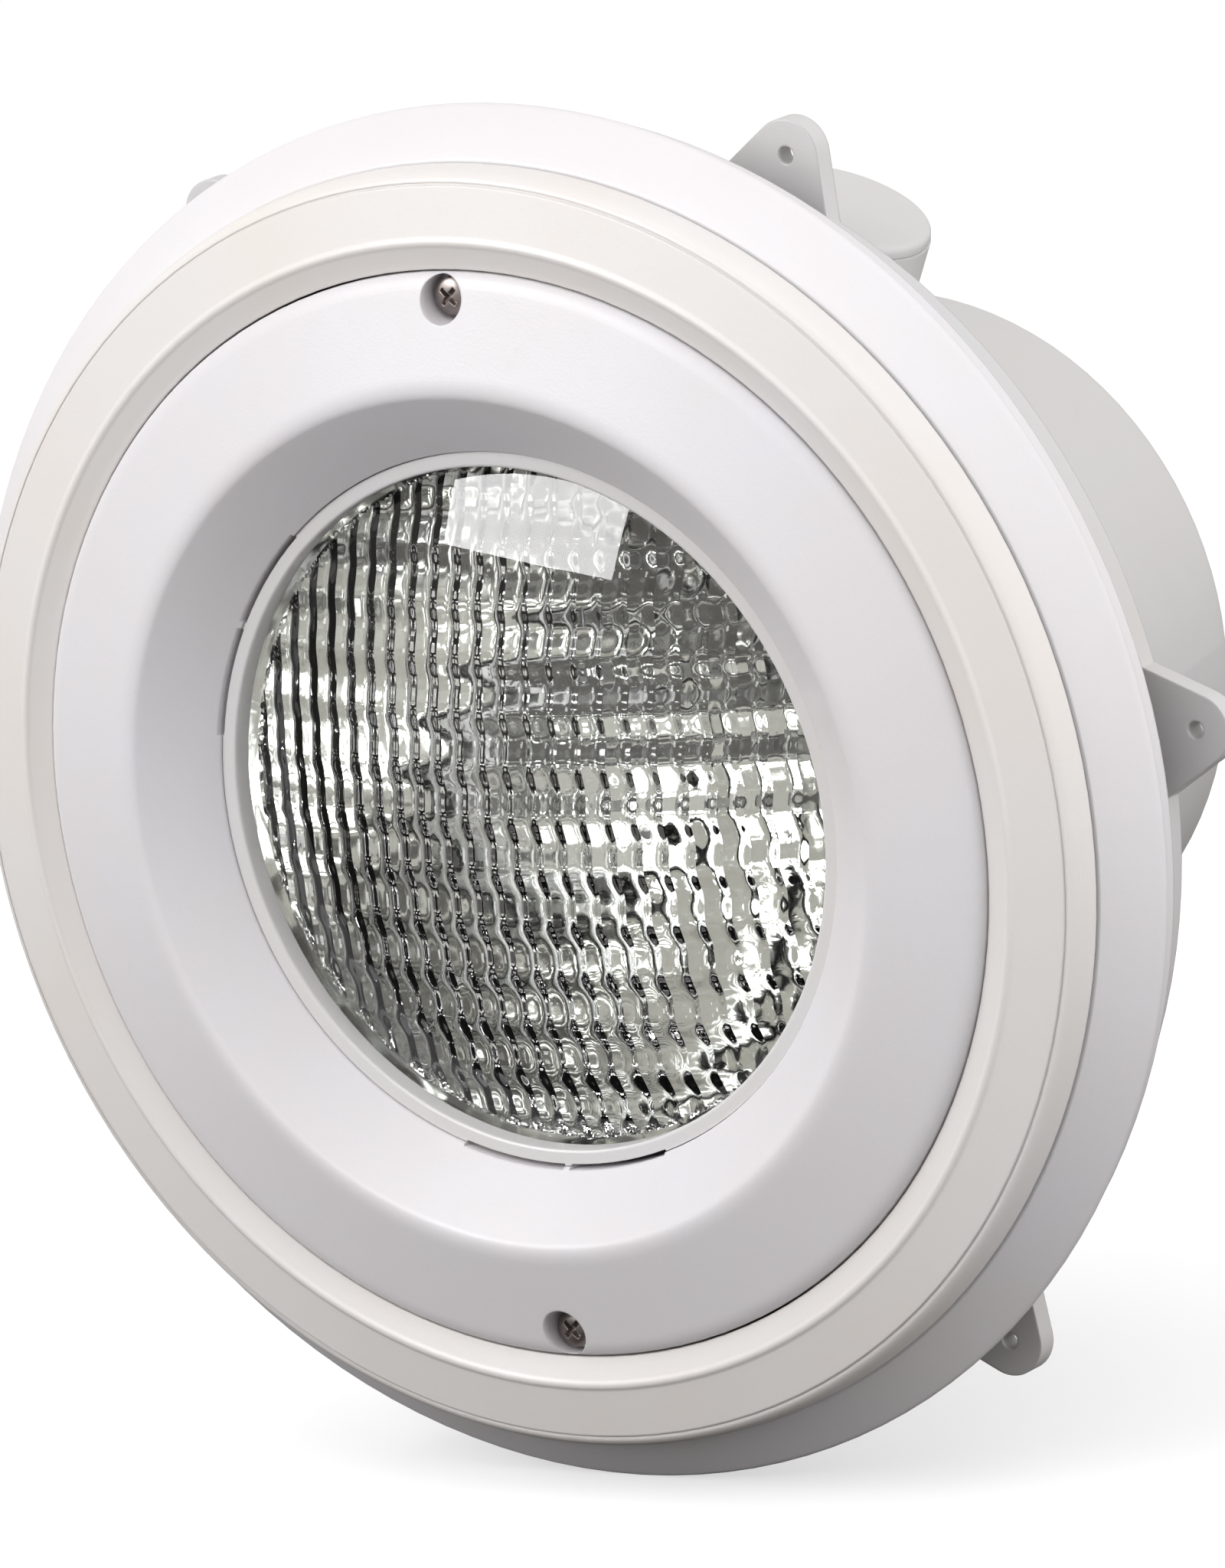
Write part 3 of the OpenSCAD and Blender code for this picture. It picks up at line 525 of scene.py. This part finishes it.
def lens():
    """Domed glass. Its inner face is pressed into columns of small pillow-shaped cells."""
    # cells are pitch_x by pitch_z, cut into sub_x by sub_z quads, and stand out by the two bulges
    pitch_x, pitch_z, edge = 6.37, 12.35, 79.8
    column_0, row_0 = 1.5, -0.3
    sub_x, sub_z = 10, 16
    bulge_x, bulge_z = 0.95, 1.6
    crease_x, crease_z, flat_rim = 0.5, 0.15, 0.8

    def grid(pitch, offset, sub):
        low = math.floor((-edge - offset) / pitch - 1)
        high = math.ceil((edge - offset) / pitch + 1)
        return [offset + pitch * (i / sub) for i in range(low * sub, high * sub + 1)]

    xs, zs = grid(pitch_x, column_0, sub_x), grid(pitch_z, row_0, sub_z)
    keep = set()
    for i in range(len(xs) - 1):
        for j in range(len(zs) - 1):
            if min(math.hypot(xs[i + a], zs[j + b]) for a in (0, 1) for b in (0, 1)) < edge - 0.05:
                keep.add((i, j))
    index, flat = {}, []

    def vertex(i, j):
        if (i, j) not in index:
            x, z = xs[i], zs[j]
            r = math.hypot(x, z)
            if r > edge:
                x, z = x * edge / r, z * edge / r
            index[i, j] = len(flat)
            flat.append((x, z, min(r, edge)))
        return index[i, j]

    corners = ((0, 0), (1, 0), (1, 1), (0, 1))
    quads = [tuple(vertex(i + a, j + b) for a, b in corners) for i, j in sorted(keep)]

    def cell(value, pitch, offset, crease):
        """0 at a cell's sides, 1 in its middle. The crease's share meets the next cell at an angle."""
        u = (value - offset) / pitch
        u -= math.floor(u)
        return crease * (1 - (2 * u - 1) ** 2) + (1 - crease) * math.sin(math.pi * u) ** 2

    front, rear = [], []
    for x, z, r in flat:
        front.append((x * MM, dome_y(r, DOME_R, LENS_FRONT) * MM, z * MM))
        pillow = bulge_x * cell(x, pitch_x, column_0, crease_x) + bulge_z * cell(z, pitch_z, row_0, crease_z)
        pillow *= min(1.0, (edge - r) / flat_rim)
        rear.append((x * MM, (dome_y(r, DOME_R - LENS_T, LENS_REAR) + pillow) * MM, z * MM))
    n = len(flat)
    verts = front + rear
    faces = quads + [tuple(n + v for v in reversed(q)) for q in quads]

    bm = bmesh.new()
    made = [bm.verts.new(v) for v in verts]
    for f in faces:
        bm.faces.new([made[v] for v in f])
    bmesh.ops.remove_doubles(bm, verts=bm.verts, dist=2e-6)
    bmesh.ops.dissolve_degenerate(bm, edges=bm.edges, dist=2e-6)
    # the two sheets' rims go out in steps to the flange and meet at its outer edge
    sheet_rims = [e for e in bm.edges if len(e.link_faces) == 1]
    chamfer, between_sheets = 0.6, (LENS_FRONT - 0.5) * MM
    dome_steps = [(r, dome_y(r, DOME_R, LENS_FRONT)) for r in (82.0, 83.9)]
    front_steps = dome_steps + [(85.0, LENS_FRONT - 0.02), (LAMP_R - chamfer, LENS_FRONT),
                                (LAMP_R, LENS_FRONT + chamfer)]
    rear_steps = [(81.0, LENS_REAR), (LAMP_R - chamfer, LENS_REAR), (LAMP_R, LENS_REAR - chamfer)]
    for is_front, steps in ((True, front_steps), (False, rear_steps)):
        rim = [e for e in sheet_rims if (e.verts[0].co.y < between_sheets) == is_front]
        for r, y in steps:
            new = bmesh.ops.extrude_edge_only(bm, edges=rim)["geom"]
            rim = [g for g in new if isinstance(g, bmesh.types.BMEdge) and len(g.link_faces) == 1]
            for v in {v for e in rim for v in e.verts}:
                a = math.atan2(v.co.z, v.co.x)
                v.co = (r * MM * math.cos(a), y * MM, r * MM * math.sin(a))
    open_edges = [e for e in bm.edges if len(e.link_faces) == 1]
    bmesh.ops.bridge_loops(bm, edges=open_edges)
    bmesh.ops.recalc_face_normals(bm, faces=bm.faces)
    for f in bm.faces:
        f.smooth = True

    def on_cells(v):
        r = math.hypot(v.co.x, v.co.z) / MM
        return r < DOME_R and v.co.y / MM > dome_y(r, DOME_R, LENS_FRONT) + LENS_T / 2

    for e in bm.edges:
        sharp = 16 if all(on_cells(v) for v in e.verts) else 40
        e.smooth = e.calc_face_angle(0) < math.radians(sharp)
    mesh = bpy.data.meshes.new("lens_glass")
    bm.to_mesh(mesh)
    bm.free()
    mesh.materials.append(MATERIALS["lens_glass"])
    o = bpy.data.objects.new("lens_glass", mesh)
    bpy.context.scene.collection.objects.link(o)
    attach(o, "lamp_unit")
    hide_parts("lamp_lens")


def reflector():
    """A deep pressed bowl: mirror inside, silvered grey outside, with a thick rim."""
    def curve(r, out):
        return APEX - r * r / (4 * FOCAL) + out

    rim_t, rim_inner_r = 4.8, 84.5
    inner = [(r, curve(r, 0)) for r in np.linspace(0.0, REFLECTOR_R, 60)]
    outer = [(r, curve(r, WALL)) for r in np.linspace(REFLECTOR_R - WALL * 0.6, 0.0, 50)]
    rim_corners = [(REFLECTOR_R, LENS_REAR), (LAMP_R, LENS_REAR), (LAMP_R, LENS_REAR + rim_t),
                   (rim_inner_r, LENS_REAR + rim_t)]
    rim = rounded(rim_corners, [0.01, 0.8, 0.8, 0.4], 4)
    profile = inner[:-1] + rim + [p for p in outer if p[1] > LENS_REAR + rim_t + 0.4]
    verts, faces = turned([(r * MM, y * MM) for r, y in profile], 192)
    o = make_piece("reflector_bowl", verts, faces, MATERIALS["mirror"], "lamp_unit",
                   ["lamp_reflector"], 40.0, more=[LAMP_BACK])
    for p in o.data.polygons:
        c = p.center
        r = math.hypot(c.x, c.z) / MM
        if c.y / MM > curve(r, 0) + 0.5 or r > REFLECTOR_R - 0.2:
            p.material_index = 1


def coil():
    """A coiled filament across the bowl's focus, with straight tails to its posts."""
    y = APEX - FOCAL
    turns, steps, radius, wire, half, post = 9, 14, 1.05, 0.16, 6.2, 7.4
    path = []
    for i in range(turns * steps + 1):
        u = i / (turns * steps)
        a = TAU * turns * u
        path.append(Vector((-half + 2 * half * u, y + radius * math.cos(a), radius * math.sin(a))))
    path = [Vector((-post, y, 0))] + path + [Vector((post, y, 0))]
    verts, faces, sides = [], [], 8
    for i, p in enumerate(path):
        d = (path[min(i + 1, len(path) - 1)] - path[max(i - 1, 0)]).normalized()
        s = d.cross(Vector((0.3, 0.2, 1))).normalized()
        t = d.cross(s)
        for k in range(sides):
            a = TAU * k / sides
            verts.append((p + wire * (math.cos(a) * s + math.sin(a) * t)) * MM)
    for i in range(len(path) - 1):
        for k in range(sides):
            a, b = i * sides + k, i * sides + (k + 1) % sides
            faces.append((a, b, b + sides, a + sides))
    faces += [tuple(range(sides)), tuple(len(verts) - 1 - k for k in range(sides))]
    make_piece("filament_coil", verts, faces, MATERIALS["tungsten"], "lamp_unit",
               ["filament"], 60)


# ------------------------------------------------------------------ the bezel's screws

def screw(name, node, body):
    """A pan-head screw with a tapered cross drive and a real thread."""
    low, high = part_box(node)
    cx, cz = (low[0] + high[0]) / 2 / MM, (low[2] + high[2]) / 2 / MM
    front, tip = low[1] / MM, high[1] / MM
    head_r, head_h, shank_r = (high[0] - low[0]) / 2 / MM, 3.9, 2.47
    arm_half, arm_reach, drive_depth, drive_cone_r = 0.62, 2.55, 1.9, 5.2
    verts, faces = [], []
    # head top: a fine disc whose heights carry the dome and the drive
    spokes, rings = 72, 26
    angles = [TAU * j / spokes for j in range(spokes)]

    def top(x, z):
        r = math.hypot(x, z)
        dome = front + 0.9 * (r / head_r) ** 4 + 0.25 * (r / head_r) ** 2
        u, v = (x + z) / math.sqrt(2), (x - z) / math.sqrt(2)
        taper = 0.15 * min(1.0, r / 2.6)
        arm = min(abs(u), abs(v)) - (arm_half - taper)
        reach = max(abs(u), abs(v)) - arm_reach
        inside = max(arm, reach * 0.9)
        depth = drive_depth * (1 - r / drive_cone_r)
        s = min(1.0, max(0.0, (-inside + 0.06) / 0.30))
        return dome + depth * s * s * (3 - 2 * s)

    verts.append((0, top(0, 0), 0))
    for i in range(1, rings + 1):
        r = head_r * (i / rings)
        verts += [(r * math.cos(a), top(r * math.cos(a), r * math.sin(a)), r * math.sin(a)) for a in angles]
    faces += [(0, 1 + j, 1 + (j + 1) % spokes) for j in range(spokes)]
    for i in range(rings - 1):
        for j in range(spokes):
            a, b = 1 + i * spokes + j, 1 + i * spokes + (j + 1) % spokes
            faces.append((a, a + spokes, b + spokes, b))
    # side, underside and threaded shank, ring by ring
    bottom = front + head_h
    side = [(head_r, bottom - 0.35), (head_r - 0.3, bottom - 0.02), (shank_r + 0.5, bottom),
            (shank_r, bottom + 0.4)]
    thread_from, pitch, step, thread_depth = bottom + 3.0, 0.8, 0.1, 0.42
    rows = [(r, y, False) for r, y in side]
    y = thread_from
    rows.append((shank_r, thread_from - 0.2, False))
    while y < tip - 0.9:
        rows.append((shank_r, y, True))
        y += step
    rows += [(shank_r - 0.55, tip - 0.5, False), (shank_r - 1.1, tip, False)]
    base = len(verts) - spokes
    for k, (r, y, cut) in enumerate(rows):
        for a in angles:
            d = 0.0
            if cut:
                w = ((y - thread_from) / pitch - a / TAU) % 1.0
                d = -thread_depth * abs(2 * w - 1) ** 1.2 * min(1.0, (y - thread_from) / pitch)
            verts.append(((r + d) * math.cos(a), y, (r + d) * math.sin(a)))
        now = base + spokes * (k + 1)
        for j in range(spokes):
            j2 = (j + 1) % spokes
            faces.append((now - spokes + j, now + j, now + j2, now - spokes + j2))
    faces.append(tuple(range(len(verts) - spokes, len(verts))))
    verts = [((x + cx) * MM, y * MM, (z + cz) * MM) for x, y, z in verts]
    make_piece(name, verts, faces, MATERIALS["screw_steel"], body, [node], 38)


# ------------------------------------------------------------------ build

camera()
studio()
sky()
floor()
MATERIALS = make_materials()
LAMP_BACK = lamp_back()

# the CAD's own materials carry their slots' names, which the new ones' keys match
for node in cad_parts.values():
    for slot in node.material_slots:
        slot.material = MATERIALS[slot.material.name.split(".")[0]]

lens()
reflector()
coil()
screw("bezel_screw_upper", "upper_screw", "upper_screw")
screw("bezel_screw_lower", "lower_screw", "lower_screw")
